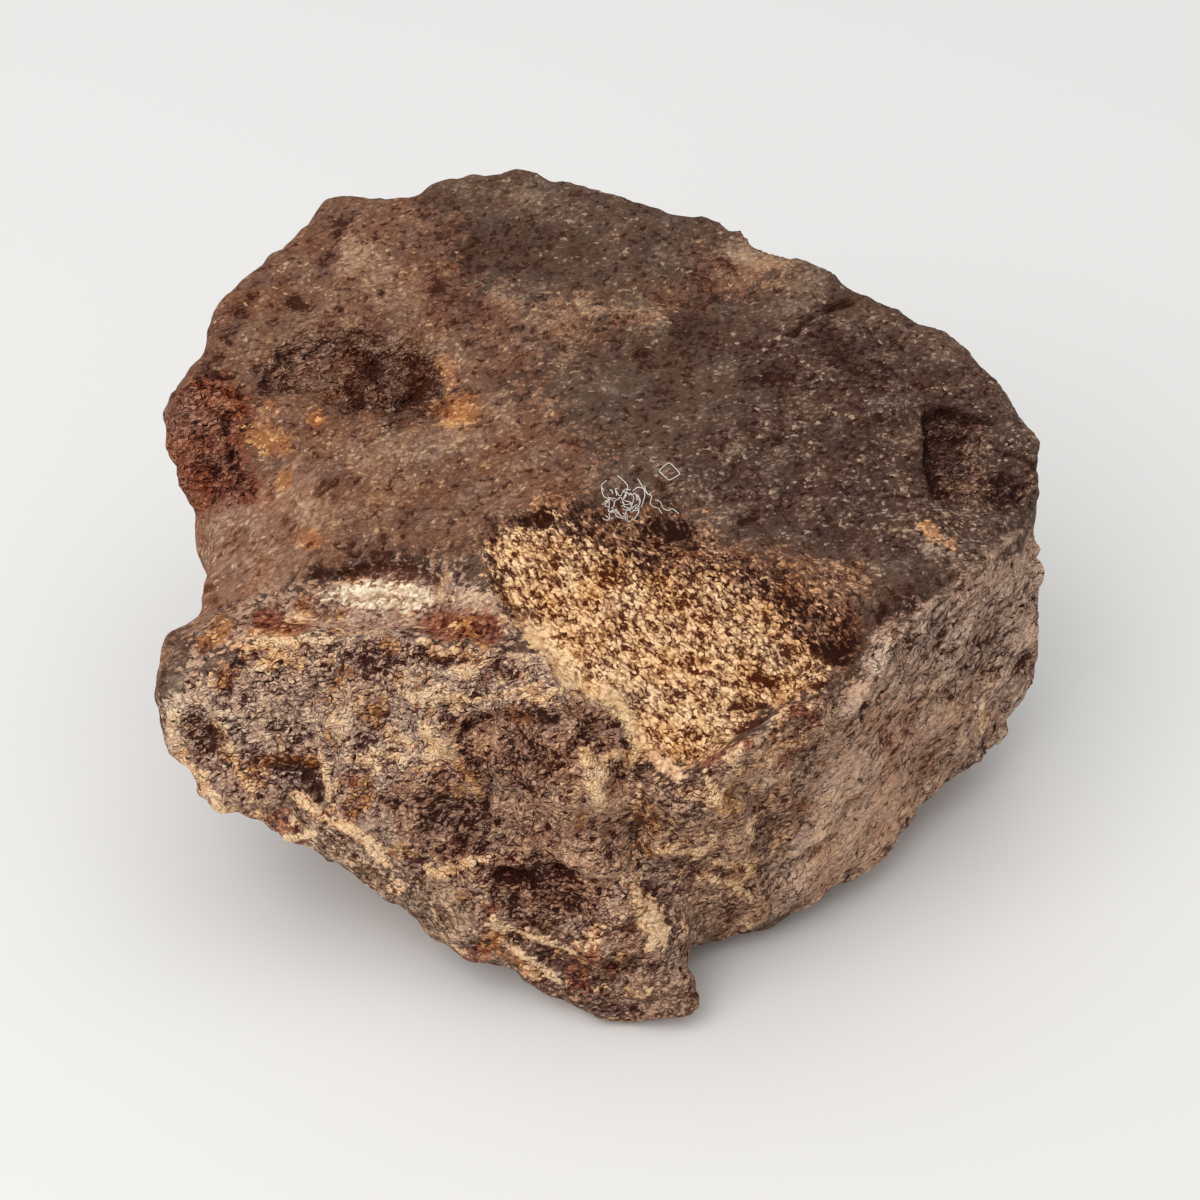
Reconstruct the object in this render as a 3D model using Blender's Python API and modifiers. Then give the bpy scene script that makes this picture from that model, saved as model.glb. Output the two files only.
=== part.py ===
"""A weathered stony meteorite fragment: one broken piece of stone with a broad dark top,
a raised knobby lobe at the front left, a scooped-out scar between the lobe and the ridge,
and a steep side on the right. It stands on low spots of its underside.

Metres, +Z up, the front towards -Y. The origin is at the middle of its base.
"""

import bmesh
import bpy
import numpy as np
from mathutils import Matrix, Vector, noise

MM = 0.001

# The stone is one block with a lobe, a tip and a nose that swell out of its front, and pieces
# broken out of them. Each is the hull of its corners, which are places on the stone, in
# millimetres.
RIM = [(-16.3, 18.6, 26), (-10, 17.3, 27), (-4.7, 18.9, 27.6), (0.8, 17, 27.1),
       (7, 15, 26.4), (12.5, 11, 25.4), (17.3, 9.2, 24.3), (21.1, 4.9, 23),
       (24.3, 0.5, 21), (24.8, -1.9, 20)]
RIDGE = [(23.8, -4.8, 18.8), (18.8, -9.8, 19.3), (13.8, -14.4, 19.5), (11.8, -17.6, 19),
         (9.7, -19.4, 18.2), (7, -20.7, 17.2), (3, -21.2, 15.4)]
LEFT_SIDE = [(-21.6, 11.4, 24), (-22.3, 9.4, 23), (-24.4, 5.6, 20.4), (-24.3, 3, 19.2),
             (-22.3, -2.2, 17.6), (-21.9, -8, 16)]
RIGHT_FOOT = [(25.4, -1.5, 9), (25.5, -2.3, 7), (22.6, -6.5, 4.4), (18, -12, 3.2),
              (13.6, -14.6, 1.8), (8.7, -17.6, 1.1), (6, -19.6, 0.9)]
FRONT = [(3.4, -21.5, 13), (4.4, -21.3, 8), (4, -21, 3)]
BACK = [(-19, 17.5, 18), (-12, 19, 16), (-3, 20.5, 17), (5, 18.6, 13), (13, 13.6, 10),
        (22, 7.5, 14)]
UNDERSIDE = [(-19, 11, 7), (-13, 15, 4.5), (-9.5, 8.5, -0.3), (0, 16.5, 1.5),
             (4, 13, -0.4), (13, 8.5, -0.5), (19, 2, -0.4), (-21.3, -3, 8.5), (-20.8, 4, 8),
             (-18, -6, 4), (-10.5, -2, -0.3), (-5, -13, 0.1)]
BLOCK = RIM + RIDGE + LEFT_SIDE + RIGHT_FOOT + FRONT + BACK + UNDERSIDE

LOBE = [(-17, -10.6, 17.1), (-12, -10.6, 17.6), (-7, -11.2, 17.8), (-3, -13, 17.7),
        (-0.4, -15.6, 17.4), (1.6, -18, 16.6), (2.2, -19.6, 15.6), (-16, -17.6, 8.6),
        (-12.2, -19.1, 6), (-9.8, -20, 4.8), (-7.4, -21, 3.7), (-5.2, -21.8, 2.9),
        (4, -21.5, 3), (-10, -15, 2.3), (-6, -19, 1.4), (-15, -3, 6), (-10, 0, 5), (0, -5, 5),
        (5, -10, 5)]
LEFT_TIP = [(-22.2, -7.6, 16.2), (-23.2, -9.2, 15.8), (-19.5, -10, 16.9), (-14, -10.6, 17.3),
            (-23.4, -12.5, 14), (-23.4, -14, 12.5), (-22.5, -14.7, 11.8), (-21, -15.9, 11),
            (-18.6, -17.3, 9.3), (-15.7, -17.9, 8), (-22.7, -8.6, 10), (-21.9, -12.6, 10),
            (-20.2, -10, 6.2), (-17, -12, 4.8), (-14, -13, 4), (-18, -4, 8)]
NOSE = [(-5.2, -21.8, 2.8), (-3.5, -22.5, 2.2), (-1.5, -23.2, 1.5), (0.7, -23.7, 1),
        (2.6, -23.8, 0.8), (4.1, -23.4, 1), (5.2, -22.5, 1.6), (5.6, -21.4, 2.6),
        (-3, -20.5, 7.5), (1.5, -21.8, 9.5), (4, -21.2, 8), (0, -15, 4), (-4, -17, 0.2),
        (-1.5, -20.5, -0.3), (1.5, -21.5, -0.8), (3.8, -20.5, -0.8)]
SWELLINGS = {"front lobe": LOBE, "left tip": LEFT_TIP, "nose": NOSE}

SCAR = [(-6.2, -7.1, 19.9), (-3.7, -14.2, 16.6), (0, -18, 15), (2.6, -20.2, 14.6),
        (5, -20, 16), (7.6, -18.5, 17.7), (13.2, -14.2, 19.3), (10, -12, 20.4),
        (1.9, -8, 21.2), (-3, -6, 26), (-3, -18, 26), (6, -26, 22), (14, -12, 26)]
RECESS = [(18.9, -4.6, 20.2), (17.9, 1.0, 21.4), (21.2, 2.0, 22.2), (24.6, -1.5, 20.4),
          (23, -4.6, 19.6), (18.8, -5, 27), (17.8, 1.4, 27), (25, 2, 27), (26, -5, 27)]
BROKEN_OUT = {"scar": SCAR, "right recess": RECESS}

# Swellings and hollows on the blocked-out stone. Each has a centre, its half lengths along
# x, y and z, a turn about z in degrees, and how far it moves the surface at its middle.
FORMS = {
    "rim dip": ((-12.7, 17.6, 26.6), (3.8, 2.2, 2.5), 0, (0.0, -1.1, -0.4)),
    "rim peak": ((-4.5, 18.5, 27.4), (2.6, 1.6, 2.0), 0, (0.0, 0.4, 0.4)),
    "rim bulge": ((7.5, 14.6, 26.3), (4.8, 2.4, 3.0), -20, (0.3, 1.0, 0.3)),
    "rim notch": ((13.8, 9.9, 25.0), (1.3, 1.3, 1.8), 0, (-0.4, -0.7, -0.5)),
    "left notch": ((-22.9, 7.9, 22.2), (1.7, 2.0, 2.0), 0, (0.8, -0.2, -0.1)),
    "left knob": ((-22.9, 3.6, 20.4), (3.0, 3.6, 3.0), 0, (-0.9, -0.2, 0.5)),
    "left knob pit": ((-21.0, 2.8, 20.6), (1.0, 1.4, 1.5), 0, (0.2, 0.0, -0.9)),
    "left bay": ((-22.2, -3.4, 17.6), (2.4, 2.8, 3.0), 0, (0.9, 0.0, -0.2)),
    "left bump": ((-22.0, -6.9, 16.4), (1.3, 1.2, 1.6), 0, (-0.6, 0.0, 0.1)),
    "trench": ((-14.4, 5.8, 23.0), (7.4, 2.9, 3.4), 3, (0.0, 0.4, -1.7)),
    "trench end": ((-9.8, 4.9, 23.0), (2.8, 2.2, 3.0), 0, (0.0, 0.0, -1.0)),
    "trough": ((-12.5, -8.8, 17.5), (9.0, 2.4, 3.0), 0, (0.0, 0.2, -0.9)),
    "ledge": ((-12.3, -6.6, 18.4), (2.2, 0.9, 1.2), 0, (0.0, -0.4, 0.2)),
    "lobe crest": ((-11.5, -13.0, 16.8), (8.5, 2.8, 3.2), -2, (0.0, -0.3, 1.2)),
    "lobe brow": ((-8.5, -15.6, 14.8), (2.6, 2.2, 2.4), 0, (-0.2, -0.7, 0.8)),
    "lobe cheek": ((-12.6, -15.4, 13.6), (2.4, 2.0, 2.4), 0, (-0.2, -0.8, 0.6)),
    "lobe knob": ((-2.6, -18.0, 15.0), (5.2, 4.8, 5.6), 0, (0.4, -1.5, 1.3)),
    "knob foot": ((-0.6, -20.8, 11.0), (2.6, 2.4, 3.4), 0, (0.3, -0.9, 0.2)),
    "knob pit": ((-0.6, -18.8, 16.6), (0.9, 1.0, 1.5), 0, (0.0, 0.2, -0.7)),
    "knob root": ((-5.9, -16.6, 14.9), (1.4, 2.0, 2.6), 10, (0.0, 0.6, -0.6)),
    "lobe hollow": ((-5.8, -19.3, 11.0), (3.4, 2.4, 2.6), 0, (0.2, 1.4, 0.5)),
    "lobe step": ((-14.6, -16.8, 10.8), (1.8, 1.8, 1.5), 0, (0.4, 0.9, 0.2)),
    "tip top": ((-19.0, -13.0, 15.2), (3.6, 2.6, 2.6), 0, (0.0, -0.3, 0.7)),
    "tip pit": ((-21.0, -14.5, 13.2), (1.2, 1.2, 1.4), 0, (0.2, 0.8, -0.4)),
    "first tip knob": ((-23.0, -9.6, 15.2), (1.9, 1.6, 2.2), 0, (-0.7, 0.0, 0.2)),
    "second tip knob": ((-23.2, -12.0, 14.0), (1.7, 1.4, 2.0), 0, (-0.5, -0.2, 0.1)),
    "third tip knob": ((-23.0, -14.0, 12.4), (1.9, 1.7, 2.2), 0, (-0.7, -0.3, 0.0)),
    "tip hem": ((-20.5, -16.5, 10.2), (4.2, 2.4, 2.4), -40, (-0.4, -0.6, -0.2)),
    "scar back": ((3.4, -7.2, 21.3), (3.8, 2.2, 3.0), -15, (0.0, 0.3, -0.8)),
    "front dent": ((5.4, -21.2, 11.0), (2.2, 2.2, 3.0), 0, (-0.4, 0.7, 0.0)),
    "toe": ((3.9, -23.4, 1.6), (2.6, 2.4, 3.2), 0, (0.9, -0.7, 0.0)),
    "heel": ((16.2, -13.4, 3.0), (2.4, 2.2, 2.4), 0, (0.4, -0.5, -0.2)),
    "heel notch": ((19.0, -10.6, 4.0), (1.9, 1.9, 1.9), 0, (-0.5, 0.5, 0.4)),
    "back hollow": ((-8.0, 19.6, 16.0), (5.5, 3.0, 5.0), 0, (0.3, -1.6, 0.0)),
    "low back hollow": ((3.0, 17.5, 7.5), (5.0, 4.0, 3.6), -15, (0.0, -1.5, 0.4)),
    "back ledge": ((10.0, 16.0, 17.5), (6.0, 3.0, 2.4), -32, (0.3, 0.8, 0.2)),
    "back scoop": ((17.5, 10.0, 13.5), (4.5, 3.2, 4.0), -42, (-0.9, -1.1, 0.0)),
    "back boss": ((-16.5, 17.6, 13.0), (3.5, 3.0, 3.5), 15, (-0.2, 0.9, 0.0)),
    "left hollow": ((-22.5, 4.0, 13.0), (3.0, 5.0, 3.6), 0, (1.3, 0.0, -0.3)),
    "under hollow": ((1.0, -1.0, 0.0), (11.0, 8.0, 3.5), 25, (0.0, 0.0, 2.0)),
    "under scoop": ((-2.0, 9.0, 0.0), (4.0, 5.0, 3.0), -20, (0.0, 0.0, 1.1)),
    "right waist": ((25.2, -1.8, 11.0), (2.0, 3.5, 4.0), 0, (-0.5, 0.2, 0.0)),
}

# The skin is made even at this spacing before its edges are worn, and thinned out at the end.
VOXEL = 0.45 * MM
EDGE_ROUNDING = 8
TRIANGLES = 9400
# Weathering: the length of each size of unevenness and how far it moves the surface, in mm.
UNEVENNESS = [(11.0, 0.60), (5.0, 0.45), (2.6, 0.32)]
# How far the outlines of the forms wander, over what length, and where the noise for each of
# the three directions starts, in mm.
WANDER = 1.1
WANDER_LENGTH = 2.8
WANDER_STARTS = (0, 40, 80)
FLOOR_SLAB = 80 * MM


def hull(name, corners):
    """A closed solid stretched over its corners."""
    made = bmesh.new()
    for corner in corners:
        made.verts.new(Vector(corner) * MM)
    result = bmesh.ops.convex_hull(made, input=made.verts)
    loose = [v for v in result["geom_interior"] if isinstance(v, bmesh.types.BMVert)]
    bmesh.ops.delete(made, geom=loose, context="VERTS")
    bmesh.ops.recalc_face_normals(made, faces=made.faces)
    mesh = bpy.data.meshes.new(name)
    made.to_mesh(mesh)
    made.free()
    return bpy.data.objects.new(name, mesh)


def with_modifiers(obj):
    """A plain mesh of the object with its modifiers applied."""
    graph = bpy.context.evaluated_depsgraph_get()
    mesh = bpy.data.meshes.new_from_object(obj.evaluated_get(graph))
    obj.modifiers.clear()
    return mesh


def block_out(name, collection):
    """The block with its swellings grown together and the broken pieces gone."""
    stone = hull(name, BLOCK)
    collection.objects.link(stone)
    shapes = [(label, corners, "UNION") for label, corners in SWELLINGS.items()]
    shapes += [(label, corners, "DIFFERENCE") for label, corners in BROKEN_OUT.items()]
    tools = []
    for label, corners, operation in shapes:
        tool = hull(label, corners)
        collection.objects.link(tool)
        tools.append(tool)
        step = stone.modifiers.new(label, "BOOLEAN")
        step.operation = operation
        step.object = tool
    remesh = stone.modifiers.new("Even skin", "REMESH")
    remesh.mode = "VOXEL"
    remesh.voxel_size = VOXEL
    bpy.context.view_layer.update()
    stone.data = with_modifiers(stone)
    for tool in tools:
        bpy.data.objects.remove(tool)
    return stone


def points_of(mesh):
    """The places of the mesh's points, in millimetres."""
    points = np.empty(len(mesh.vertices) * 3)
    mesh.vertices.foreach_get("co", points)
    return points.reshape(-1, 3) / MM


def normals_of(mesh):
    """The direction that each of the mesh's points faces."""
    normals = np.empty(len(mesh.vertices) * 3)
    mesh.vertex_normals.foreach_get("vector", normals)
    return normals.reshape(-1, 3)


def set_points(mesh, points):
    """Moves the mesh's points to these places, in millimetres."""
    mesh.vertices.foreach_set("co", (points * MM).ravel())
    mesh.update()


def noise_at(points, length):
    """Smooth noise from -1 to 1 at each point."""
    return np.array([noise.noise(Vector(p / length)) for p in points])


def press_forms(mesh):
    """Swells and hollows the surface where FORMS says, each with a wandering outline."""
    points = points_of(mesh)
    wander = [noise_at(points + start, WANDER_LENGTH) for start in WANDER_STARTS]
    felt = points + WANDER * np.stack(wander, axis=1)
    for centre, half_lengths, turn, move in FORMS.values():
        turned = np.array(Matrix.Rotation(np.radians(-turn), 3, "Z"))
        local = (felt - np.array(centre)) @ turned.T / np.array(half_lengths)
        reach = np.clip(1 - (local**2).sum(axis=1), 0, 1)
        points += (reach**2)[:, None] * np.array(move)
    set_points(mesh, points)


def wear_edges(stone):
    """Rounds every edge a little."""
    worn = stone.modifiers.new("Worn edges", "SMOOTH")
    worn.factor = 0.5
    worn.iterations = EDGE_ROUNDING
    bpy.context.view_layer.update()
    stone.data = with_modifiers(stone)


def weather(mesh):
    """Moves each point along its normal by noise of several sizes."""
    points, normals = points_of(mesh), normals_of(mesh)
    for length, depth in UNEVENNESS:
        points += normals * (depth * noise_at(points, length))[:, None]
    set_points(mesh, points)


def thin_out(stone):
    """Fewer triangles, kept where the surface bends most."""
    thin = stone.modifiers.new("Fewer faces", "DECIMATE")
    thin.use_collapse_triangulate = True
    stone.data.calc_loop_triangles()
    thin.ratio = TRIANGLES / len(stone.data.loop_triangles)
    bpy.context.view_layer.update()
    stone.data = with_modifiers(stone)


def cut_base(stone):
    """Cuts the resting spots flat at the height of the floor."""
    bpy.ops.mesh.primitive_cube_add(size=FLOOR_SLAB, location=(0, 0, -FLOOR_SLAB / 2))
    floor = bpy.context.object
    cut = stone.modifiers.new("Resting spots", "BOOLEAN")
    cut.operation = "DIFFERENCE"
    cut.object = floor
    bpy.context.view_layer.update()
    stone.data = with_modifiers(stone)
    bpy.data.objects.remove(floor)


def centre_on_base(mesh):
    """Puts the origin below the middle of the stone, at the height of the floor."""
    points = points_of(mesh)
    low, high = points.min(axis=0), points.max(axis=0)
    middle = np.array([(low[0] + high[0]) / 2, (low[1] + high[1]) / 2, low[2]])
    set_points(mesh, points - middle)


def stone_material():
    """Dark brown weathering crust."""
    material = bpy.data.materials.new("weathered_crust")
    material.use_nodes = True
    shader = material.node_tree.nodes["Principled BSDF"]
    shader.inputs["Base Color"].default_value = (0.13, 0.075, 0.05, 1)
    shader.inputs["Roughness"].default_value = 0.85
    shader.inputs["Metallic"].default_value = 0.0
    return material


for old in list(bpy.data.objects):
    bpy.data.objects.remove(old)
fragment = bpy.data.collections.new("meteorite_fragment")
bpy.context.scene.collection.children.link(fragment)
stone = block_out("meteorite_stone", fragment)
press_forms(stone.data)
wear_edges(stone)
weather(stone.data)
thin_out(stone)
cut_base(stone)
centre_on_base(stone.data)
stone.data.materials.append(stone_material())
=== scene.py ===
"""A weathered stony meteorite fragment, about 50 mm across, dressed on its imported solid.

Metres, +Z up, the front towards -Y. The origin is below the middle of the stone, at the
height of the floor that it rests on.
"""

import bmesh
import bpy
import numpy as np
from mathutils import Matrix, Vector, noise


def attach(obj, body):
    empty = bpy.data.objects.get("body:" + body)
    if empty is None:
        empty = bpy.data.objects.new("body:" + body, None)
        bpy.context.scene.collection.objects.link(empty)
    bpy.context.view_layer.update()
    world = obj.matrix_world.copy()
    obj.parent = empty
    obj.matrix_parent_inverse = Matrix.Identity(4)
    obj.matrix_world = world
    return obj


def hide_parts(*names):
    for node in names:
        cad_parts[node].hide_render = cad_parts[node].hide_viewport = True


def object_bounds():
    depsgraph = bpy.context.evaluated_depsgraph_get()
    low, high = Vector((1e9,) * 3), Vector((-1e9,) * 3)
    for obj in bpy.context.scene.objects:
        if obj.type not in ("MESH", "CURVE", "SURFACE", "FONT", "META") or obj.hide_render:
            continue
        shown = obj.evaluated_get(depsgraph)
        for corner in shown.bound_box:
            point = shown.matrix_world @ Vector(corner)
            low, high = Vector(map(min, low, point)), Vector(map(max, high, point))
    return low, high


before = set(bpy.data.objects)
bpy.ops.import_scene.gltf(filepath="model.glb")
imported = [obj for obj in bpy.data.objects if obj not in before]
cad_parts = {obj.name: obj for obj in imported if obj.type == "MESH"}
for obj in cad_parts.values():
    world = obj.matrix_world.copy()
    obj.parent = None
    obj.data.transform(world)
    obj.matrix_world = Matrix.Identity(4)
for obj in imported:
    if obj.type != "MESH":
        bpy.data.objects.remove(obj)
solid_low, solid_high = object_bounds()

# The skin of the stone
# One broken piece of stony meteorite, with dark crust on its top and paler where it broke. Its
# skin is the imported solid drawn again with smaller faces, so that it can carry the lumps,
# creases and pits that weathering has left.
MM = 0.001
SKIN_SPACING = 0.29 * MM
SKIN_SMOOTHING = 5

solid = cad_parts["meteorite_stone"]


def with_modifiers(obj):
    """A plain mesh of the object with its modifiers applied."""
    bpy.context.view_layer.update()
    graph = bpy.context.evaluated_depsgraph_get()
    mesh = bpy.data.meshes.new_from_object(obj.evaluated_get(graph))
    obj.modifiers.clear()
    return mesh


skin = bpy.data.meshes.new("meteorite_skin")
merged = bmesh.new()
merged.from_mesh(solid.data)
bmesh.ops.remove_doubles(merged, verts=merged.verts, dist=0.001 * MM)
merged.to_mesh(skin)
merged.free()
stone = bpy.data.objects.new("meteorite_skin", skin)
bpy.context.scene.collection.objects.link(stone)
even = stone.modifiers.new("Even skin", "REMESH")
even.mode = "VOXEL"
even.voxel_size = SKIN_SPACING
soften = stone.modifiers.new("No facets", "SMOOTH")
soften.factor = 0.5
soften.iterations = SKIN_SMOOTHING
stone.data = with_modifiers(stone)

# The zones of the stone
# Zones of the skin that differ in relief and colour, such as the fresh scar, the cream patch and
# the knobby front lobe. They are drawn in millimetres across and up on a sheet held square to
# the line from 40 degrees above the front, and lie on the skin that faces that way.
SHEET_MIDDLE = np.array([-0.1, 1.87, 10.0])
SHEET_RISE = np.radians(40)
EYE_DISTANCE = 145.0
SHEET_UP = np.array([0.0, np.sin(SHEET_RISE), np.cos(SHEET_RISE)])
SHEET_OUT = np.array([0.0, -np.cos(SHEET_RISE), np.sin(SHEET_RISE)])

count = len(stone.data.vertices)
places = np.empty(count * 3)
stone.data.vertices.foreach_get("co", places)
places = places.reshape(-1, 3) / MM
outward = np.empty(count * 3)
stone.data.vertex_normals.foreach_get("vector", outward)
outward = outward.reshape(-1, 3)


def noise_at(points, length, start=0.0):
    """Smooth noise from -1 to 1 at each point, for a length in millimetres."""
    return np.array([noise.noise(p) for p in (points / length + start).tolist()])


def ease(value, low, high):
    """0 below low, 1 above high and a smooth rise between."""
    share = np.clip((value - low) / (high - low), 0, 1)
    return share * share * (3 - 2 * share)


def gap_to(spots, corners):
    """The distance on the sheet from each spot to a line through the corners."""
    corners = np.array(corners, float).reshape(-1, 2)
    nearest = np.linalg.norm(spots - corners[0], axis=1)
    for start, end in zip(corners, corners[1:]):
        along = end - start
        share = np.clip((spots - start) @ along / (along @ along), 0, 1)
        gap = np.linalg.norm(spots - start - share[:, None] * along, axis=1)
        nearest = np.minimum(nearest, gap)
    return nearest


def inside(spots, corners):
    """Whether each spot on the sheet is inside the closed line through the corners."""
    found = np.zeros(len(spots), bool)
    for (ax, ay), (bx, by) in zip(corners, corners[1:] + corners[:1]):
        if ay == by:
            continue
        crosses = (ay > spots[:, 1]) != (by > spots[:, 1])
        found ^= crosses & (spots[:, 0] < ax + (spots[:, 1] - ay) * (bx - ax) / (by - ay))
    return found


def filled(spots, corners, softness):
    """1 inside the closed line through the corners, 0 outside, over a soft edge."""
    gap = gap_to(spots, corners + corners[:1])
    return ease(np.where(inside(spots, corners), gap, -gap), -softness, softness)


towards = places - SHEET_MIDDLE
shrink = EYE_DISTANCE / (EYE_DISTANCE - towards @ SHEET_OUT)
sheet = np.stack([towards[:, 0] * shrink, towards @ SHEET_UP * shrink], axis=1)
# How far the drawn lines wander from the zones' real edges: the length and the size of each
# waver, and the share that is left in the finely drawn lines.
WANDERS = [(3.4, 1.3), (1.1, 0.55)]
FINE_WANDER = 0.25
# The drawing fades out where the skin turns edge-on to the sheet, between these two cosines.
FACING = (0.02, 0.22)
wander = sum(size * np.stack([noise_at(places, length, start) for start in (0, 40)], axis=1)
             for length, size in WANDERS)
drawn = sheet + wander
drawn_finely = sheet + FINE_WANDER * wander
facing = ease(outward @ SHEET_OUT, *FACING)

# Later zones lie over earlier ones. Each has its outline and how soft its edge is.
ZONES = [
    ("warm", [(-26, -4), (-27, 14), (-22, 20), (-15, 26), (-10, 25), (-8, 19), (-5, 17),
              (2, 17.6), (9, 21.5), (12, 20), (5, 16.6), (-2, 15), (-5, 13), (-3, 11), (0, 9),
              (0, 6), (-6, 5), (-7, 3), (-10, 2), (-16, 2), (-20, 1), (-24, -1.5)],
     2.2),
    ("slope", [(-27, 7), (-21, 7.6), (-17, 7.6), (-15, 5.6), (-16, 2.6), (-17, 0.6), (-20, -0.4),
               (-24, -2), (-27, 0)],
     1.8),
    ("trough", [(-24, -2), (-20, -0.4), (-17, 0.6), (-14, 1.8), (-10, 2), (-6, 0.8),
                (-4.8, -0.6), (-5.5, -2), (-8.5, -2.3), (-10, -2.4), (-13, -1.9), (-16, -2.2),
                (-19, -2.3), (-22, -3.2), (-23.8, -5)],
     1.0),
    ("side", [(27, 5), (24.4, 3.4), (20.6, 0.8), (18.4, -0.4), (16.2, -2.2), (15, -3.8),
              (14.6, -5), (13.4, -6.8), (12.6, -9), (11.4, -13), (9.5, -18), (12, -19),
              (27, -12)],
     0.9),
    ("low_side", [(15.6, -5.8), (19, -5), (21.6, -5.6), (22.4, -8), (21, -9.8), (19, -13),
                  (17, -15.5), (13, -17.5), (11.6, -16), (12.8, -12), (14, -8.5)],
     2.6),
    ("front", [(2.3, -9.6), (4.6, -9.6), (6.2, -9.4), (8.4, -8.6), (10, -7), (12.6, -6.2),
               (14.2, -5), (14, -7.6), (12.8, -11), (11.2, -14), (9.4, -17.6), (6.4, -21),
               (3.8, -18.4), (2.4, -16)],
     0.7),
    ("lobe", [(-27, -6), (-24.4, -5.4), (-22.6, -4.4), (-21, -3.2), (-20, -2.4), (-16, -2.2),
              (-13, -1.8), (-10.4, -2.3), (-9.2, -3), (-7.8, -2.4), (-6, -2.7), (-4.6, -3.2),
              (-3.2, -4), (-1.6, -5), (0.4, -5.7), (1.7, -7.2), (2.4, -9), (2.5, -11),
              (2.2, -14), (2.6, -16), (3.6, -20), (3, -26), (-27, -26)],
     0.35),
    ("knob", [(-9.4, -7.8), (-8, -6.7), (-6, -6.3), (-3.4, -6.1), (-1.4, -5.8), (0.6, -6.4),
              (1.6, -7.8), (2.1, -9.6), (2.2, -11.4), (1.8, -14), (1, -16.4), (-1, -18.4),
              (-4, -18), (-7, -16.6), (-9.4, -15.4), (-11.8, -13.6), (-13, -11.4),
              (-11, -10.4), (-8.8, -10.4), (-8.2, -9)],
     0.5),
    ("nose", [(-8.4, -17.4), (-5, -18.4), (-2, -18.6), (0.6, -18.2), (2, -16.8), (3.4, -16.6),
              (5.4, -18.6), (7.4, -21), (7, -24), (2, -26), (-9, -24)],
     0.9),
    ("hem", [(-26, -6.4), (-24.6, -8.6), (-22.6, -10.8), (-20.4, -12), (-17.6, -11.6),
             (-14.6, -13), (-11.4, -15.2), (-9, -16.8), (-7, -18.6), (-4, -22), (-8, -24),
             (-27, -16)],
     0.9),
    ("speckled", [(5, 16.4), (9, 16), (13, 16.4), (17, 15.4), (21, 13.6), (24, 11), (26, 7),
                  (26, 4.4), (22, 2.4), (17, 1.8), (12, 3), (8, 4.4), (4.4, 5.4), (3.6, 8),
                  (6, 10), (9.4, 12)],
     2.4),
    ("trench", [(-20.3, 13.4), (-19.6, 14.3), (-17.5, 14.3), (-16.5, 15.2), (-15, 15.7),
                (-13, 15.5), (-12, 15.3), (-10.6, 14.6), (-9.4, 14.2), (-9.4, 13),
                (-9.3, 12.4), (-8.7, 11.9), (-10, 10.6), (-11.4, 10.2), (-13, 10.4),
                (-13.4, 11.6), (-14.9, 11.2), (-16.4, 12), (-17.6, 12.4), (-19.6, 12),
                (-20.2, 12.6)],
     0.7),
    ("recess", [(18.9, 10.7), (20, 11.1), (21.4, 10.9), (22.6, 10.4), (22.4, 9.4), (21.8, 8.4),
                (22.2, 7.4), (24.2, 7.2), (25, 6.4), (24.4, 5.7), (23, 5.4), (21.5, 5.4),
                (19.3, 5.8), (19.2, 7.5), (18.9, 9.2)],
     0.4),
    ("rust", [(-23, 12.6), (-25.2, 11.6), (-25.4, 9), (-24.4, 7.2), (-23.4, 5.6), (-22, 5.2),
              (-20.5, 5.6), (-20.3, 7), (-20.8, 8.5), (-20.6, 10.4), (-21, 12), (-22, 12.8)],
     0.9),
    ("fringe", [(-6.4, 5.4), (-3, 5.6), (0, 5.8), (3, 5.2), (6, 4), (9, 2.8), (12, 2),
                (14.6, 1.4), (15.6, -0.4), (15, -3.2), (13, -5.4), (9, -4), (2, -2), (-3, 0),
                (-6.4, 2)],
     1.8),
    ("scar", [(-5.6, 4.3), (-4, 4.2), (-2.2, 4), (-1, 3.5), (1, 2.7), (3, 2.1), (5, 1.6),
              (7, 0.6), (9, -0.4), (11, -1.2), (12.2, -2.2), (12.5, -3.2), (12.6, -4),
              (12.7, -5), (12.4, -5.7), (11, -6.3), (9.6, -6.9), (8.2, -7.4), (7.6, -8.2),
              (6, -8.9), (4.6, -9), (3.2, -8.6), (2.2, -8.2), (1.7, -7.2), (0.6, -5.8),
              (-1.2, -5), (-2.4, -4.2), (-3.4, -3), (-4.2, -1.6), (-5, -0.2), (-5.6, 0.8),
              (-6.1, 2), (-6, 3.4)],
     1.0),
    ("cream", [(-16.1, 0.5), (-15, 0.8), (-13.6, 1), (-12.5, 1.1), (-11, 0.8), (-9.9, 0.6),
               (-9.5, 0.1), (-10.2, -0.5), (-11.4, -0.7), (-13, -0.6), (-14.4, -0.4),
               (-15.4, 0), (-16.2, 0.1)],
     0.2),
]
FINELY_EDGED = ("cream", "lobe", "knob", "recess")
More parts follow.
